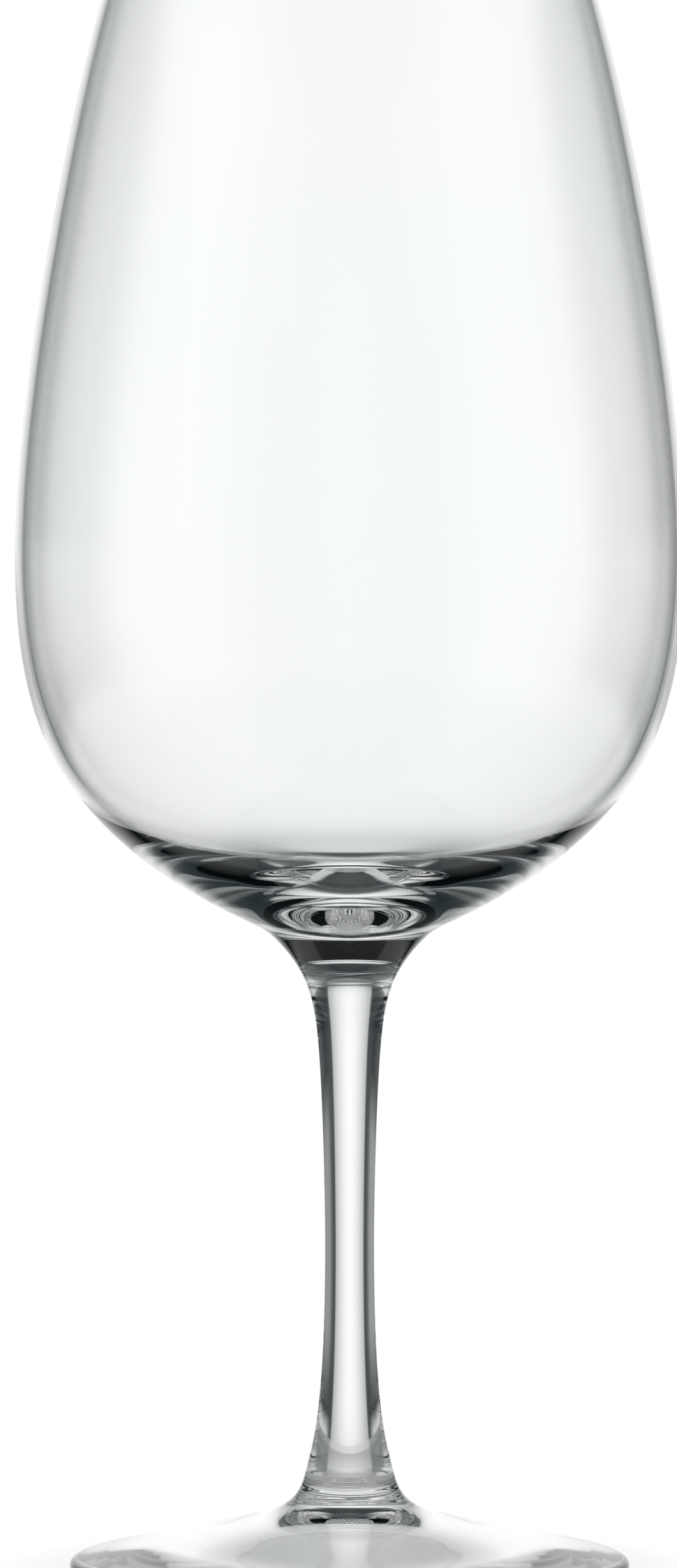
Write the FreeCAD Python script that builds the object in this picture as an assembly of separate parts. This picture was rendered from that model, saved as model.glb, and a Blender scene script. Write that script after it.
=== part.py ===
import FreeCAD, Part
import math
import os

# A stemmed wine glass, millimetres. The origin is the middle of the foot on the
# table, and +Z is the axis of the glass, towards the rim.

HEIGHT = 205.0
RIM_RADIUS = 31.2          # outside of the mouth
BELLY_RADIUS = 43.85       # pole that pulls the bowl out to 43.0 at its widest
WAIST_RADIUS = 3.1         # thinnest part of the stem
FOOT_RADIUS = 36.1
FOOT_ROUND = 0.95          # half round on the edge of the foot
REST_INNER = 31.0          # the flat ring that the foot stands on, inside
HOLLOW = 6.3               # height of the hollow under the middle of the foot
WALL = 1.1                 # bowl wall
RIM_WALL = 0.9             # wall at the fire-polished rim
FLOOR_HEIGHT = 86.2        # lowest point inside the bowl
BOWL_WELD = 78.0           # plane where the bowl is fused to the stem
FOOT_WELD = 10.0           # plane where the stem is fused to the foot

RIM_END = HEIGHT - RIM_WALL / 2
REST_OUTER = FOOT_RADIUS - FOOT_ROUND
SIN_45 = math.sqrt(0.5)

# Poles (radius, height) of the smooth curve down the outside, rim to foot edge.
OUTSIDE = [
    (RIM_RADIUS, RIM_END),
    (34.1, 194.6),
    (38.3, 173.6),
    (41.7, 152.6),
    (BELLY_RADIUS, 128.5),
    (40.8, 105.8),
    (26.5, 90.8),
    (11.6, 83.5),
    (10.4, 83.0),
    (4.9, 77.0),
    (3.8, 67.1),
    (3.2, 50.5),
    (WAIST_RADIUS, 35.2),
    (3.9, 20.0),
    (5.5, 13.9),
    (6.1, 11.2),
    (7.6, 9.0),
    (10.9, 7.5),
    (20.0, 5.5),
    (28.0, 3.2),
    (34.0, 2.0),
    (FOOT_RADIUS, 2 * FOOT_ROUND),
    (FOOT_RADIUS, FOOT_ROUND),
]

# Poles down the inside of the bowl, rim to the middle of its floor.
INSIDE = [
    (RIM_RADIUS - RIM_WALL, RIM_END),
    (34.1 - RIM_WALL, 194.6),
    (38.3 - WALL, 173.6),
    (41.7 - WALL, 152.6),
    (BELLY_RADIUS - WALL, 128.5),
    (39.6, 108.4),
    (28.8, 94.0),
    (13.0, 89.4),
    (2.5, FLOOR_HEIGHT),
    (0.0, FLOOR_HEIGHT),
]

# Poles under the foot, from the flat ring up into the hollow, nearly parallel to its top.
UNDERSIDE = [
    (REST_INNER, 0.0),
    (27.0, 0.3),
    (19.0, 2.4),
    (8.0, 5.0),
    (3.0, HOLLOW),
    (0.0, HOLLOW),
]


def point(radius, height):
    return FreeCAD.Vector(radius, 0, height)


def smooth_edge(poles):
    """A clamped cubic B-spline through the half plane of the glass's outline."""
    curve = Part.BSplineCurve()
    curve.buildFromPoles([point(radius, height) for radius, height in poles], False, 3)
    return curve.toShape()


def rim_edge():
    """The half round that joins the outside and inside of the wall at the mouth."""
    inner = point(RIM_RADIUS - RIM_WALL, RIM_END)
    top = point(RIM_RADIUS - RIM_WALL / 2, HEIGHT)
    outer = point(RIM_RADIUS, RIM_END)
    return Part.Arc(inner, top, outer).toShape()


def foot_edges():
    """The rounded edge of the foot and the flat ring inside it."""
    side = point(FOOT_RADIUS, FOOT_ROUND)
    corner = point(REST_OUTER + FOOT_ROUND * SIN_45, FOOT_ROUND * (1 - SIN_45))
    outer = point(REST_OUTER, 0)
    ring = Part.LineSegment(outer, point(REST_INNER, 0))
    return [Part.Arc(side, corner, outer).toShape(), ring.toShape()]


def axis_edge():
    """The solid glass on the axis, from the hollow up to the floor of the bowl."""
    return Part.LineSegment(point(0, HOLLOW), point(0, FLOOR_HEIGHT)).toShape()


def whole_glass():
    """The outline turned once round the axis."""
    skins = [smooth_edge(OUTSIDE), smooth_edge(UNDERSIDE), smooth_edge(INSIDE)]
    edges = skins + foot_edges() + [rim_edge(), axis_edge()]
    outline = Part.Wire(Part.__sortEdges__(edges))
    return Part.Face(outline).revolve(FreeCAD.Vector(0, 0, 0), FreeCAD.Vector(0, 0, 1), 360)


def slab(low, high):
    """A disc wider than the glass, between two heights."""
    width = 2 * BELLY_RADIUS
    return Part.makeCylinder(width, high - low, FreeCAD.Vector(0, 0, low))


def between(glass, low, high):
    """The one solid of the glass between two weld planes."""
    return glass.common(slab(low, high)).Solids[0]


def bowl(glass):
    return between(glass, BOWL_WELD, HEIGHT + 1)


def stem(glass):
    return between(glass, FOOT_WELD, BOWL_WELD)


def foot(glass):
    return between(glass, -1, FOOT_WELD)


glass = whole_glass()
pieces = {"bowl": bowl(glass), "stem": stem(glass), "foot": foot(glass)}

os.makedirs("parts", exist_ok=True)
for name, piece in pieces.items():
    piece.exportStep(f"parts/{name}.step")
    print(name, "valid", piece.isValid(), "volume", round(piece.Volume), "mm3")
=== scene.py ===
import bmesh
import bpy
import math
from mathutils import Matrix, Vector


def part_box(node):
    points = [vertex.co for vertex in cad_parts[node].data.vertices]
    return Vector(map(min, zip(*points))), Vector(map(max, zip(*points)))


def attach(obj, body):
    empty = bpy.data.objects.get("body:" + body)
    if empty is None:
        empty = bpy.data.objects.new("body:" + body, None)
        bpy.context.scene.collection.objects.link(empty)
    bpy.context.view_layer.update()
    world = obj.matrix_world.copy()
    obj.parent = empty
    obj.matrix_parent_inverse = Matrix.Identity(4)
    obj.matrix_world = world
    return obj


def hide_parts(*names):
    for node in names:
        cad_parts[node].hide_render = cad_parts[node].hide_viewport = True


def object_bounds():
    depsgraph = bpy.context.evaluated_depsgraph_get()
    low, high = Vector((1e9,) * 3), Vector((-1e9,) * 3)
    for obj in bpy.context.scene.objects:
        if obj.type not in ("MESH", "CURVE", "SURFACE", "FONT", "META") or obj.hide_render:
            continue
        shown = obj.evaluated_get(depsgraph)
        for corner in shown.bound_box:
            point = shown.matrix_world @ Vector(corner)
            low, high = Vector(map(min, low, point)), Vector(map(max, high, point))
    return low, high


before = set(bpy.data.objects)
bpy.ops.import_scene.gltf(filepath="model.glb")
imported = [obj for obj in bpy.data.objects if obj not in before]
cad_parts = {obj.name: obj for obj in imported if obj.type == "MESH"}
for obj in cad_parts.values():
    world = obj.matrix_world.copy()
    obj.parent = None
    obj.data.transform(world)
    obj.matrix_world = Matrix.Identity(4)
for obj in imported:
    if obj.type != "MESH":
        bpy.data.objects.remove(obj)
cad_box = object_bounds()

MM = 0.001

# Sizes that the frame settles, in millimetres: the rim, the two welds and the foot's edge.
HEIGHT = cad_box[1][2] / MM
BOWL_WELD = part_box("bowl")[0][2] / MM
FOOT_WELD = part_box("foot")[1][2] / MM
FOOT_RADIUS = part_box("foot")[1][0] / MM

# The other driving sizes, the same as the CAD model's.
RIM_RADIUS = 31.2
BELLY_RADIUS = 43.85
WAIST_RADIUS = 3.1
FOOT_ROUND = 0.95
REST_INNER = 31.0
HOLLOW = 6.3
WALL = 1.1
RIM_WALL = 0.9
FLOOR_HEIGHT = 86.2
RIM_END = HEIGHT - RIM_WALL / 2

# Poles (radius, height) of the smooth curve down the outside, rim to foot edge.
OUTSIDE = [
    (RIM_RADIUS, RIM_END), (34.1, 194.6), (38.3, 173.6), (41.7, 152.6), (BELLY_RADIUS, 128.5),
    (40.8, 105.8), (26.5, 90.8), (11.6, 83.5), (10.4, 83.0), (4.9, 77.0), (3.8, 67.1),
    (3.2, 50.5), (WAIST_RADIUS, 35.2), (3.9, 20.0), (5.5, 13.9), (6.1, 11.2), (7.6, 9.0),
    (10.9, 7.5), (20.0, 5.5), (28.0, 3.2), (34.0, 2.0), (FOOT_RADIUS, 2 * FOOT_ROUND),
    (FOOT_RADIUS, FOOT_ROUND),
]

# Poles down the inside of the bowl, rim to the middle of its floor.
INSIDE = [
    (RIM_RADIUS - RIM_WALL, RIM_END), (34.1 - RIM_WALL, 194.6), (38.3 - WALL, 173.6),
    (41.7 - WALL, 152.6), (BELLY_RADIUS - WALL, 128.5), (39.6, 108.4), (28.8, 94.0),
    (13.0, 89.4), (2.5, FLOOR_HEIGHT), (0.0, FLOOR_HEIGHT),
]

# Poles under the foot, from the flat ring up into the hollow.
UNDERSIDE = [
    (REST_INNER, 0.0), (27.0, 0.3), (19.0, 2.4), (8.0, 5.0), (3.0, HOLLOW), (0.0, HOLLOW),
]

SEGMENTS = 256
OUTSIDE_STEPS = 4000
INSIDE_STEPS = 2000
UNDER_STEPS = 1000
RIM_STEPS = 12
EDGE_STEPS = 10

# Distance between the mesh's rings, in millimetres, and the stretches that need them closer.
WELD_SPACING = 0.08
FOOT_SPACING = 0.25
BASE_SPACING = 0.35
PLAIN_SPACING = 1.4
BOWL_WELD_REACH = 1.2
FOOT_WELD_REACH = 2.2
FOOT_TOP = 12
BASE_BOTTOM = 76
BASE_TOP = 96

# A point this near the axis is on it, and heights this near a weld's are its flat face.
ON_AXIS = 1e-6
ON_WELD = 1e-4

DEGREES = 180 / math.pi
WHITE = 1.04


def spline(poles, steps):
    """Points along the clamped cubic B-spline with these poles and evenly spaced knots."""
    degree = 3
    spans = len(poles) - degree
    knots = [0.0] * degree + [float(k) for k in range(spans + 1)] + [float(spans)] * degree
    points = []
    for i in range(steps + 1):
        t = spans * i / steps
        k = min(int(t), spans - 1) + degree
        work = [list(poles[j + k - degree]) for j in range(degree + 1)]
        for r in range(1, degree + 1):
            for j in range(degree, r - 1, -1):
                left = knots[j + k - degree]
                share = (t - left) / (knots[j + 1 + k - r] - left)
                work[j] = [(1 - share) * a + share * b for a, b in zip(work[j - 1], work[j])]
        points.append(tuple(work[degree]))
    return points


def arc(centre, radius, start, end, steps):
    """Points on a round stretch, its angles in degrees from +radius towards +height."""
    points = []
    for i in range(steps + 1):
        turn = math.radians(start + (end - start) * i / steps)
        points.append((centre[0] + radius * math.cos(turn), centre[1] + radius * math.sin(turn)))
    return points


def ring_spacing(height):
    """Distance between rings at a height: fine at the welds and where the base bends."""
    if abs(height - BOWL_WELD) < BOWL_WELD_REACH or abs(height - FOOT_WELD) < FOOT_WELD_REACH:
        return WELD_SPACING
    if height < FOOT_TOP:
        return FOOT_SPACING
    if BASE_BOTTOM < height < BASE_TOP:
        return BASE_SPACING
    return PLAIN_SPACING


def thinned(points):
    """The same line with its points about ring_spacing apart; both ends stay."""
    kept = [points[0]]
    for point in points[1:-1]:
        if math.dist(point, kept[-1]) >= ring_spacing(point[1]):
            kept.append(point)
    return kept + [points[-1]]


def clipped(points, low, high):
    """The stretch of a falling line between two heights, cut exactly at both."""
    kept = []
    for a, b in zip(points, points[1:]):
        for cut in (high, low):
            if b[1] < cut < a[1]:
                share = (a[1] - cut) / (a[1] - b[1])
                kept.append((a[0] + share * (b[0] - a[0]), cut))
        if low <= b[1] <= high:
            kept.append(b)
    return kept


# Faint ridges round the welds: height, height of the ridge, half width, wobble, phase.
RIDGES = [
    (BOWL_WELD + 0.15, 0.030, 0.13, 0.10, 0.4),
    (BOWL_WELD - 0.30, 0.040, 0.12, 0.16, 2.1),
    (FOOT_WELD + 1.10, 0.030, 0.22, 0.05, 1.3),
    (FOOT_WELD + 0.30, 0.050, 0.18, 0.10, 0.2),
    (FOOT_WELD - 0.40, 0.060, 0.20, 0.16, 3.0),
    (FOOT_WELD - 1.00, 0.030, 0.16, 0.10, 4.4),
]


def weld_relief(height, angle):
    """How far the fused glass stands out at a place on a weld, in millimetres."""
    out = 0.0
    for level, rise, width, wobble, phase in RIDGES:
        middle = level + wobble * (math.sin(angle + phase) + 0.4 * math.sin(3 * angle + 2 * phase))
        strength = 0.65 + 0.35 * math.sin(2 * angle + 1.7 * phase)
        out += rise * strength * math.exp(-(((height - middle) / width) ** 2))
    return out


def turned(name, line, welds):
    """A closed mesh: the line turned round the axis. Flat discs close it at the welds' heights."""
    verts, rings = [], []
    for radius, height in line:
        if radius < ON_AXIS:
            rings.append([len(verts)])
            verts.append((0, 0, height * MM))
            continue
        rings.append(list(range(len(verts), len(verts) + SEGMENTS)))
        for k in range(SEGMENTS):
            angle = 2 * math.pi * k / SEGMENTS
            r = (radius + weld_relief(height, angle)) * MM
            verts.append((r * math.cos(angle), r * math.sin(angle), height * MM))
    faces = []
    for low, high in zip(rings, rings[1:]):
        for k in range(SEGMENTS):
            n = (k + 1) % SEGMENTS
            quad = [low[k % len(low)], low[n % len(low)], high[n % len(high)], high[k % len(high)]]
            faces.append(list(dict.fromkeys(quad)))
    mesh = bpy.data.meshes.new(name)
    mesh.from_pydata(verts, [], faces)
    mesh.validate()
    for face in mesh.polygons:
        level = [mesh.vertices[v].co.z / MM for v in face.vertices]
        flat = any(max(abs(z - weld) for z in level) < ON_WELD for weld in welds)
        face.use_smooth = not flat
        face.material_index = 1 if flat else 0
    piece = bpy.data.objects.new(name, mesh)
    bpy.context.scene.collection.objects.link(piece)
    fix_normals(mesh)
    return piece


def fix_normals(mesh):
    """Turn every face outwards."""
    work = bmesh.new()
    work.from_mesh(mesh)
    bmesh.ops.recalc_face_normals(work, faces=work.faces)
    work.to_mesh(mesh)
    work.free()


def bowl():
    """The blown bowl: its inside, rim, outside and the short funnel down to the weld."""
    outside = clipped(thinned(spline(OUTSIDE, OUTSIDE_STEPS)), BOWL_WELD, HEIGHT)
    inside = thinned(spline(INSIDE, INSIDE_STEPS))
    rim = arc((RIM_RADIUS - RIM_WALL / 2, RIM_END), RIM_WALL / 2, 180, 0, RIM_STEPS)
    line = inside[::-1] + rim[1:-1] + [(RIM_RADIUS, RIM_END)] + outside + [(0.0, BOWL_WELD)]
    return turned("bowl_glass", line, [BOWL_WELD])


def stem():
    """The drawn stem between its two welds."""
    outside = clipped(thinned(spline(OUTSIDE, OUTSIDE_STEPS)), FOOT_WELD, BOWL_WELD)
    line = [(0.0, BOWL_WELD)] + outside + [(0.0, FOOT_WELD)]
    return turned("stem_glass", line, [BOWL_WELD, FOOT_WELD])


def foot():
    """The foot: its collar and top, rounded edge, flat ring and conical hollow."""
    outside = clipped(thinned(spline(OUTSIDE, OUTSIDE_STEPS)), FOOT_ROUND, FOOT_WELD)
    edge = arc((FOOT_RADIUS - FOOT_ROUND, FOOT_ROUND), FOOT_ROUND, 0, -90, EDGE_STEPS)
    under = thinned(spline(UNDERSIDE, UNDER_STEPS))
    line = [(0.0, FOOT_WELD)] + outside + edge[1:] + under
    return turned("foot_glass", line, [FOOT_WELD])


def nodes_of(owner):
    """The emptied node tree of a material or world."""
    owner.use_nodes = True
    owner.node_tree.nodes.clear()
    return owner.node_tree


class Maths:
    """Short names for the maths nodes of one node tree."""

    def __init__(self, tree):
        self.tree = tree

    def link(self, value, socket):
        """Set a socket to a number, or join another node's output to it."""
        if isinstance(value, (int, float)):
            socket.default_value = value
        else:
            self.tree.links.new(value, socket)

    def op(self, operation, *values):
        """One maths operation on its values."""
        node = self.tree.nodes.new("ShaderNodeMath")
        node.operation = operation
        for value, socket in zip(values, node.inputs):
            self.link(value, socket)
        return node.outputs[0]

    def curve(self, value, low, high, stops):
        """A piecewise line through (place, level, ...) stops, between two ends of value."""
        place = self.tree.nodes.new("ShaderNodeMapRange")
        self.link(value, place.inputs["Value"])
        place.inputs["From Min"].default_value = low
        place.inputs["From Max"].default_value = high
        ramp = self.tree.nodes.new("ShaderNodeValToRGB")
        self.tree.links.new(place.outputs[0], ramp.inputs[0])
        elements = ramp.color_ramp.elements
        while len(elements) > 1:
            elements.remove(elements[-1])
        for i, (at, *colour) in enumerate(stops):
            spot = (at - low) / (high - low)
            element = elements[0] if i == 0 else elements.new(spot)
            element.position = spot
            element.color = (*(colour * 3 if len(colour) == 1 else colour), 1)
        return ramp.outputs[0]

    def colour(self, red, green, blue):
        """One plain colour."""
        node = self.tree.nodes.new("ShaderNodeRGB")
        node.outputs[0].default_value = (red, green, blue, 1)
        return node.outputs[0]

    def colours(self, blend, a, b):
        """Two colours added or multiplied, as blend says."""
        node = self.tree.nodes.new("ShaderNodeMix")
        node.data_type = "RGBA"
        node.blend_type = blend
        node.inputs["Factor"].default_value = 1.0
        self.tree.links.new(a, node.inputs["A"])
        self.tree.links.new(b, node.inputs["B"])
        return node.outputs["Result"]


def noise(tree, stretch, scale, detail):
    """Noise in the glass's own space, stretched by a factor along X, Y and Z."""
    place = tree.nodes.new("ShaderNodeTexCoord")
    mapping = tree.nodes.new("ShaderNodeMapping")
    mapping.inputs["Scale"].default_value = stretch
    grain = tree.nodes.new("ShaderNodeTexNoise")
    grain.inputs["Scale"].default_value = scale
    grain.inputs["Detail"].default_value = detail
    tree.links.new(place.outputs["Object"], mapping.inputs["Vector"])
    tree.links.new(mapping.outputs[0], grain.inputs["Vector"])
    return grain.outputs["Fac"]


# The glass's look: its bending of light, the grain of its noises and the share of each bump.
GLASS_IOR = 1.52
TINT_GRAIN = 18
POLISH_GRAIN = 90
RIPPLE_GRAIN = 120
RIPPLE_STRENGTH = 0.5
TINT = [(0.3, 0.985, 0.998, 0.993), (0.7, 1.0, 1.0, 1.0)]
POLISH = [(0.55, 0.0), (0.8, 0.012)]


def glass_material(name, stretch, ripple):
    """Clear glass: faint ripples ripple mm deep, and a fire polish that varies a little."""
    material = bpy.data.materials.new(name)
    tree = nodes_of(material)
    maths = Maths(tree)
    output = tree.nodes.new("ShaderNodeOutputMaterial")
    shader = tree.nodes.new("ShaderNodeBsdfPrincipled")
    shader.inputs["Transmission Weight"].default_value = 1.0
    shader.inputs["IOR"].default_value = GLASS_IOR
    tint = maths.curve(noise(tree, (1, 1, 1), TINT_GRAIN, 2), 0, 1, TINT)
    tree.links.new(tint, shader.inputs["Base Color"])
    polish = maths.curve(noise(tree, (1, 1, 1), POLISH_GRAIN, 4), 0, 1, POLISH)
    tree.links.new(polish, shader.inputs["Roughness"])
    bump = tree.nodes.new("ShaderNodeBump")
    bump.inputs["Strength"].default_value = RIPPLE_STRENGTH
    bump.inputs["Distance"].default_value = ripple * MM
    tree.links.new(noise(tree, stretch, RIPPLE_GRAIN, 1), bump.inputs["Height"])
    tree.links.new(bump.outputs[0], shader.inputs["Normal"])
    tree.links.new(shader.outputs[0], output.inputs["Surface"])
    return material


def weld_material():
    """The fused faces inside the glass: nothing shows there, as in one piece of glass."""
    material = bpy.data.materials.new("fused_face")
    tree = nodes_of(material)
    output = tree.nodes.new("ShaderNodeOutputMaterial")
    shader = tree.nodes.new("ShaderNodeBsdfTransparent")
    tree.links.new(shader.outputs[0], output.inputs["Surface"])
    return material


def directions(tree, maths):
    """Where a ray from the glass points: degrees round from straight back, and degrees up."""
    place = tree.nodes.new("ShaderNodeTexCoord")
    parts = tree.nodes.new("ShaderNodeSeparateXYZ")
    tree.links.new(place.outputs["Generated"], parts.inputs[0])
    x, y, z = parts.outputs
    side = maths.op("MULTIPLY", maths.op("ARCTAN2", x, y), DEGREES)
    rise = maths.op("MULTIPLY", maths.op("ARCSINE", z), DEGREES)
    return side, rise


# Brightness round the studio, as (degrees, level) stops. A light is its level round the glass
# (0 is straight behind it) times its level up or down (0 is the horizon).
BACKDROP_ROUND = [
    (0, 1.0), (5, 0.96), (10, 0.86), (15, 0.73), (20, 0.57), (24, 0.44),
    (26, 0.03), (30, 0.0), (180, 0.0),
]
BACKDROP_UP = [
    (0, 1.0), (15, 0.97), (20, 0.90), (24, 0.76), (27, 0.42), (31, 0.10), (41, 0.03), (90, 0.01),
]
FRONT_ROUND = [(0, 0.0), (76, 0.0), (94, 0.56), (130, 0.58), (150, 0.38), (180, 0.36)]
FRONT_UP = [(-90, 0.0), (-21, 0.0), (-17, 1.0), (22, 1.0), (34, 0.30), (60, 0.10), (90, 0.10)]
LOW_ROUND = [(0, 0.0), (27, 0.0), (36, 0.50), (60, 0.62), (130, 0.62), (160, 0.34), (180, 0.34)]
LOW_UP = [(-90, 0.0), (-66, 0.0), (-60, 1.0), (-21, 1.0), (-17, 0.0), (90, 0.0)]
UNDER_UP = [(-90, 0.32), (-66, 0.34), (-60, 0.0), (90, 0.0)]
SIDES_ROUND = [
    (-180, 0.0), (-112, 0.0), (-92, 0.22), (-62, 0.31), (-42, 0.27), (-33, 0.03), (-26, 0.0),
    (26, 0.0), (33, 0.03), (42, 0.24), (62, 0.26), (92, 0.18), (112, 0.0), (180, 0.0),
]
SIDES_UP = [(-90, 0.0), (-18, 0.0), (-13, 0.35), (-9.5, 1.0), (-3, 1.0), (-1, 0.0), (90, 0.0)]
SIDE_LIGHT_ROUND = [(-180, 0.0), (-132, 0.0), (-121, 0.16), (-107, 0.16), (-96, 0.0), (180, 0.0)]
SIDE_LIGHT_UP = [(-90, 0.0), (-26, 0.0), (-12, 1.0), (28, 1.0), (42, 0.0), (90, 0.0)]

# The least light that comes from anywhere: red, green, blue.
HAZE = (0.010, 0.018, 0.020)


def studio_world():
    """A white backdrop lit from its middle, dark at its edges, in a dimmer pale room."""
    world = bpy.data.worlds.new("studio")
    bpy.context.scene.world = world
    tree = nodes_of(world)
    maths = Maths(tree)
    side, rise = directions(tree, maths)
    away = maths.op("ABSOLUTE", side)
    steep = maths.op("ABSOLUTE", rise)
    lights = [
        (maths.curve(away, 0, 180, BACKDROP_ROUND), maths.curve(steep, 0, 90, BACKDROP_UP)),
        (maths.curve(away, 0, 180, FRONT_ROUND), maths.curve(rise, -90, 90, FRONT_UP)),
        (maths.curve(away, 0, 180, LOW_ROUND), maths.curve(rise, -90, 90, LOW_UP)),
        (maths.curve(side, -180, 180, SIDES_ROUND), maths.curve(rise, -90, 90, SIDES_UP)),
        (maths.curve(side, -180, 180, SIDE_LIGHT_ROUND), maths.curve(rise, -90, 90, SIDE_LIGHT_UP)),
    ]
    light = maths.colours("ADD", maths.curve(rise, -90, 90, UNDER_UP), maths.colour(*HAZE))
    for around, up in lights:
        light = maths.colours("ADD", light, maths.colours("MULTIPLY", around, up))
    emit = tree.nodes.new("ShaderNodeBackground")
    emit.inputs["Strength"].default_value = WHITE
    output = tree.nodes.new("ShaderNodeOutputWorld")
    tree.links.new(light, emit.inputs["Color"])
    tree.links.new(emit.outputs[0], output.inputs["Surface"])


# The camera and what it frames, in metres.
CAMERA_DISTANCE = 1.62
CAMERA_HEIGHT = 0.2155
CAMERA_SIDE = -0.00143
FRAME_HEIGHT = 0.2015
FRAME_MIDDLE = 0.1019
SENSOR = 36
CAMERA_REACH = 20


def camera():
    """The photograph's view: a little above the rim's height, from far off, tilted down."""
    data = bpy.data.cameras.new("camera")
    viewer = bpy.data.objects.new("camera", data)
    bpy.context.scene.collection.objects.link(viewer)
    bpy.context.scene.camera = viewer
    drop = CAMERA_HEIGHT - FRAME_MIDDLE
    viewer.location = (CAMERA_SIDE, -CAMERA_DISTANCE, CAMERA_HEIGHT)
    viewer.rotation_euler = (math.pi / 2 - math.atan2(drop, CAMERA_DISTANCE), 0, 0)
    data.sensor_width = SENSOR
    data.lens = SENSOR * math.hypot(CAMERA_DISTANCE, drop) / FRAME_HEIGHT
    data.clip_end = CAMERA_REACH


def stage_disc(name, radius, height):
    """A flat round piece of the stage, with an empty material. Gives the disc and its node tree."""
    sides = 96
    turns = [2 * math.pi * k / sides for k in range(sides)]
    rim = [(radius * math.cos(turn), radius * math.sin(turn), height) for turn in turns]
    mesh = bpy.data.meshes.new(name)
    mesh.from_pydata(rim, [], [list(range(sides))])
    disc = bpy.data.objects.new(name, mesh)
    bpy.context.scene.collection.objects.link(disc)
    material = bpy.data.materials.new(name)
    mesh.materials.append(material)
    return disc, nodes_of(material)


def mixed_output(tree, share, first, second):
    """Ends a material's tree with two shaders: share of the second, the rest of the first."""
    maths = Maths(tree)
    mix = tree.nodes.new("ShaderNodeMixShader")
    maths.link(share, mix.inputs[0])
    tree.links.new(first.outputs[0], mix.inputs[1])
    tree.links.new(second.outputs[0], mix.inputs[2])
    output = tree.nodes.new("ShaderNodeOutputMaterial")
    tree.links.new(mix.outputs[0], output.inputs["Surface"])


# The floor, in metres: a little under the glass, with stops (distance from the middle, level).
FLOOR_RADIUS = 6.0
FLOOR_LEVEL = -0.0002
FLOOR_SOLID = [(0, 1.0), (4.0, 1.0), (5.9, 0.0), (FLOOR_RADIUS, 0.0)]
FLOOR_LIGHT = [(0, 0.72), (0.035, 0.80), (0.042, 0.95), (0.070, 1.0), (FLOOR_RADIUS, 1.0)]


def floor():
    """A round pale table top with a soft contact shade, fading out into the studio far away."""
    disc, tree = stage_disc("floor", FLOOR_RADIUS, FLOOR_LEVEL)
    disc.visible_glossy = False
    disc.visible_transmission = False
    maths = Maths(tree)
    place = tree.nodes.new("ShaderNodeTexCoord")
    length = tree.nodes.new("ShaderNodeVectorMath")
    length.operation = "LENGTH"
    tree.links.new(place.outputs["Object"], length.inputs[0])
    far = length.outputs["Value"]
    emit = tree.nodes.new("ShaderNodeEmission")
    emit.inputs["Strength"].default_value = WHITE
    tree.links.new(maths.curve(far, 0, FLOOR_RADIUS, FLOOR_LIGHT), emit.inputs["Color"])
    clear = tree.nodes.new("ShaderNodeBsdfTransparent")
    mixed_output(tree, maths.curve(far, 0, FLOOR_RADIUS, FLOOR_SOLID), clear, emit)


# The polished table close round the foot: its size in metres, its mirror and its own glow.
GLOSS_RADIUS = 0.045
GLOSS_LEVEL = -0.0001
GLOSS_COLOUR = (0.80, 0.81, 0.81, 1)
GLOSS_ROUGHNESS = 0.04
GLOSS_GLOW = 0.8
GLOSS_GLOW_SHARE = 0.35


def table_gloss():
    """The polished table as only the glass sees it: it mirrors the stem and the backdrop."""
    disc, tree = stage_disc("table_gloss", GLOSS_RADIUS, GLOSS_LEVEL)
    disc.visible_camera = False
    mirror = tree.nodes.new("ShaderNodeBsdfGlossy")
    mirror.inputs["Color"].default_value = GLOSS_COLOUR
    mirror.inputs["Roughness"].default_value = GLOSS_ROUGHNESS
    glow = tree.nodes.new("ShaderNodeEmission")
    glow.inputs["Strength"].default_value = GLOSS_GLOW
    mixed_output(tree, GLOSS_GLOW_SHARE, mirror, glow)


def settings():
    """Plain colours, and enough bounces for light to get through several walls of glass."""
    scene = bpy.context.scene
    scene.view_settings.view_transform = "Standard"
    scene.cycles.max_bounces = 32
    scene.cycles.transmission_bounces = 32
    scene.cycles.glossy_bounces = 16
    scene.cycles.transparent_max_bounces = 32
    scene.cycles.use_denoising = True


settings()
camera()
floor()
table_gloss()
studio_world()

# The bowl's ripples run round it, the stem's draw lines run along it, and the foot's are even.
blown = glass_material("blown_glass", (0.35, 0.35, 1.0), 0.004)
drawn = glass_material("drawn_glass", (3.0, 3.0, 0.12), 0.006)
pressed = glass_material("pressed_glass", (1.0, 1.0, 1.0), 0.010)
fused = weld_material()
for piece, node, glass in (
    (bowl(), "bowl", blown), (stem(), "stem", drawn), (foot(), "foot", pressed),
):
    piece.data.materials.append(glass)
    piece.data.materials.append(fused)
    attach(piece, "root")
    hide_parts(node)
